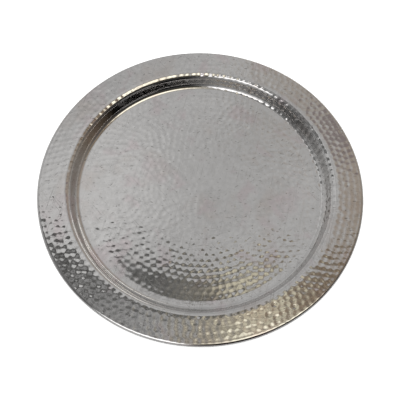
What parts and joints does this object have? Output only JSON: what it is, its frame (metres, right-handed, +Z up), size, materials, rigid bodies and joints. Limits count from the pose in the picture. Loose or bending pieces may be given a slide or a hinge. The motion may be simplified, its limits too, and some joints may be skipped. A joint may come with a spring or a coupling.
{
  "type": "offering plate",
  "caption": "Round shallow metal plate with a hammered flat base, smooth steep wall and wide flat hammered rim whose edge is curled round a wire; holds and passes offerings.",
  "frame": {"origin": "centre of the underside of the base, which rests on the table", "axes": "+Z up along the plate's axis of symmetry; +X to the right and +Y away from the viewer"},
  "size_m": [0.3048, 0.3048, 0.0127],
  "materials": {
    "plate_metal": "hammered and polished bright stainless steel sheet, smooth spun wall, faint tarnish and fine scratches",
    "wire_metal": "plain drawn steel wire, dull grey"
  },
  "bodies": {
    "root": {"plate_body": "plate_metal", "rim_wire": "wire_metal"}
  },
  "joints": []
}
